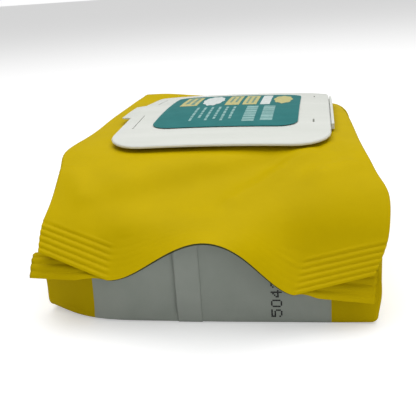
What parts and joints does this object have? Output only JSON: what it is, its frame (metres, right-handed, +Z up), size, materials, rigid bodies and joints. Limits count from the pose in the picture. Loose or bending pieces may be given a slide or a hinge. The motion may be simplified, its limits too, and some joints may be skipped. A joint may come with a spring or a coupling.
{
  "type": "wet wipes pack",
  "caption": "Soft flow-wrapped pack of wet wipes with crimped end fins, a back seam and a rigid white lid that hinges open over a sealed opening.",
  "frame": {"origin": "middle of the bounding box's bottom face, on the surface the pack lies on", "axes": "+Z up, +Y along the pack's length from the near fin to the far fin, +X across it towards the lid's hinge"},
  "size_m": [0.1231, 0.208, 0.058],
  "materials": {
    "film": "soft printed film with a satin sheen",
    "wipes": "damp nonwoven",
    "sticker": "thin glossy film",
    "lid_plastic": "fine matt moulded plastic",
    "label": "satin printed film"
  },
  "bodies": {
    "pack": {"film_wrap": "film", "wipes_stack": "wipes", "seal_sticker": "sticker", "lid_frame": "lid_plastic"},
    "lid": {"lid": "lid_plastic", "lid_label": "label"}
  },
  "joints": [
    {"name": "lid_hinge", "type": "hinge", "parent": "pack", "child": "lid", "pos_m": [0.04365, 0.009, 0.056], "axis": [0, 1, 0], "range_deg": [0, 150]}
  ]
}
